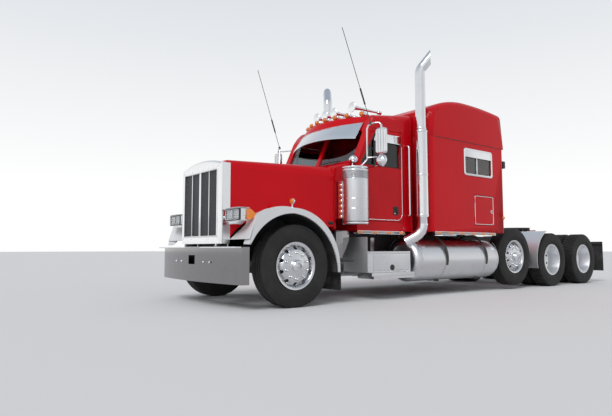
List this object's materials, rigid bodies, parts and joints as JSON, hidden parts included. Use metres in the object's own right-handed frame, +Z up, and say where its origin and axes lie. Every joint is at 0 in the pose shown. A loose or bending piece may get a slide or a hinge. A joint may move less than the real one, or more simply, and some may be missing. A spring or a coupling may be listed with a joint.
{
  "type": "semi truck tractor unit",
  "caption": "Long-hood sleeper tractor unit with tandem drive axles, a raised pusher axle, twin stacks and a fifth wheel to haul a trailer.",
  "frame": {"origin": "on the floor under the middle of the truck, halfway between the front of the bumper and the rear mud flaps", "axes": "+X forward, +Y to the driver's left, +Z up"},
  "size_m": [9.4499, 2.8, 3.9189],
  "materials": {
    "red_paint": "gloss",
    "white_paint": "gloss",
    "chrome": "polished",
    "polished_alloy": "polished",
    "black_steel": "satin",
    "cast_axle": "painted",
    "tyre_rubber": "matte",
    "flap_rubber": "matte",
    "glass": "clear",
    "amber_lens": "clear amber",
    "seat_fabric": "woven",
    "dash_plastic": "matte"
  },
  "bodies": {
    "chassis": {"cab": "red_paint", "sleeper": "red_paint", "sleeper_roof": "red_paint", "bumper": "chrome", "visor": "chrome", "exhaust_stacks": "chrome", "air_horns": "chrome", "side_trim": "chrome", "fuel_tanks": "polished_alloy", "step_boxes": "polished_alloy", "air_cleaners": "polished_alloy", "quarter_fenders": "polished_alloy", "frame_rails": "black_steel", "crossmembers": "black_steel", "fifth_wheel_base": "black_steel", "suspension": "black_steel", "steer_axle": "cast_axle", "pusher_axle": "cast_axle", "drive_axles": "cast_axle", "engine": "cast_axle", "mud_flaps": "flap_rubber", "glass": "glass", "marker_lamps": "amber_lens", "seats": "seat_fabric", "dashboard": "dash_plastic"},
    "hood_body": {"hood": "red_paint", "radiator_shell": "chrome", "grille": "black_steel", "fenders": "white_paint", "headlamps": "chrome"},
    "left_door": {"door_left": "red_paint", "door_glass_left": "glass", "mirror_left": "chrome"},
    "right_door": {"door_right": "red_paint", "door_glass_right": "glass", "mirror_right": "chrome"},
    "left_locker_door": {"locker_door_left": "red_paint"},
    "right_locker_door": {"locker_door_right": "red_paint"},
    "left_knuckle": {"knuckle_left": "cast_axle"},
    "right_knuckle": {"knuckle_right": "cast_axle"},
    "fifth_wheel": {"fifth_wheel_plate": "black_steel"},
    "left_steer_wheel": {"steer_tyre_left": "tyre_rubber", "steer_wheel_left": "polished_alloy"},
    "left_pusher_wheel": {"pusher_tyre_left": "tyre_rubber", "pusher_wheel_left": "polished_alloy"},
    "left_front_drive_wheels": {"front_drive_tyres_left": "tyre_rubber", "front_drive_wheels_left": "polished_alloy"},
    "left_rear_drive_wheels": {"rear_drive_tyres_left": "tyre_rubber", "rear_drive_wheels_left": "polished_alloy"},
    "right_steer_wheel": {"steer_tyre_right": "tyre_rubber", "steer_wheel_right": "polished_alloy"},
    "right_pusher_wheel": {"pusher_tyre_right": "tyre_rubber", "pusher_wheel_right": "polished_alloy"},
    "right_front_drive_wheels": {"front_drive_tyres_right": "tyre_rubber", "front_drive_wheels_right": "polished_alloy"},
    "right_rear_drive_wheels": {"rear_drive_tyres_right": "tyre_rubber", "rear_drive_wheels_right": "polished_alloy"}
  },
  "joints": [
    {"name": "hood_tilt", "type": "hinge", "parent": "chassis", "child": "hood_body", "pos_m": [4.595, 0, 0.785], "axis": [0, 1, 0], "range_deg": [0, 60]},
    {"name": "left_door_swing", "type": "hinge", "parent": "chassis", "child": "left_door", "pos_m": [2.585, 0.98, 1.86], "axis": [0, 0, -1], "range_deg": [0, 65]},
    {"name": "right_door_swing", "type": "hinge", "parent": "chassis", "child": "right_door", "pos_m": [2.585, -0.98, 1.86], "axis": [0, 0, 1], "range_deg": [0, 65]},
    {"name": "left_locker_swing", "type": "hinge", "parent": "chassis", "child": "left_locker_door", "pos_m": [0.095, 1.22, 1.405], "axis": [0, 0, -1], "range_deg": [0, 100]},
    {"name": "right_locker_swing", "type": "hinge", "parent": "chassis", "child": "right_locker_door", "pos_m": [0.095, -1.22, 1.405], "axis": [0, 0, 1], "range_deg": [0, 100]},
    {"name": "left_steering", "type": "hinge", "parent": "chassis", "child": "left_knuckle", "pos_m": [3.825, 0.88, 0.527], "axis": [0, 0, 1], "range_deg": [-35, 35]},
    {"name": "right_steering", "type": "hinge", "parent": "chassis", "child": "right_knuckle", "pos_m": [3.825, -0.88, 0.527], "axis": [0, 0, 1], "range_deg": [-35, 35]},
    {"name": "fifth_wheel_rock", "type": "hinge", "parent": "chassis", "child": "fifth_wheel", "pos_m": [-3.005, 0, 1.105], "axis": [0, 1, 0], "range_deg": [-12, 12]},
    {"name": "left_steer_wheel_spin", "type": "hinge", "parent": "left_knuckle", "child": "left_steer_wheel", "pos_m": [3.825, 1.03, 0.527], "axis": [0, 1, 0], "continuous": true},
    {"name": "left_pusher_wheel_spin", "type": "hinge", "parent": "chassis", "child": "left_pusher_wheel", "pos_m": [-1.23, 1.03, 0.597], "axis": [0, 1, 0], "continuous": true},
    {"name": "left_front_drive_spin", "type": "hinge", "parent": "chassis", "child": "left_front_drive_wheels", "pos_m": [-2.495, 0.9135, 0.527], "axis": [0, 1, 0], "continuous": true},
    {"name": "left_rear_drive_spin", "type": "hinge", "parent": "chassis", "child": "left_rear_drive_wheels", "pos_m": [-3.815, 0.9135, 0.527], "axis": [0, 1, 0], "continuous": true},
    {"name": "right_steer_wheel_spin", "type": "hinge", "parent": "right_knuckle", "child": "right_steer_wheel", "pos_m": [3.825, -1.03, 0.527], "axis": [0, 1, 0], "continuous": true},
    {"name": "right_pusher_wheel_spin", "type": "hinge", "parent": "chassis", "child": "right_pusher_wheel", "pos_m": [-1.23, -1.03, 0.597], "axis": [0, 1, 0], "continuous": true},
    {"name": "right_front_drive_spin", "type": "hinge", "parent": "chassis", "child": "right_front_drive_wheels", "pos_m": [-2.495, -0.9135, 0.527], "axis": [0, 1, 0], "continuous": true},
    {"name": "right_rear_drive_spin", "type": "hinge", "parent": "chassis", "child": "right_rear_drive_wheels", "pos_m": [-3.815, -0.9135, 0.527], "axis": [0, 1, 0], "continuous": true}
  ],
  "couplings": [
    {"joint": "right_steering", "follows": "left_steering", "ratio": 1}
  ]
}
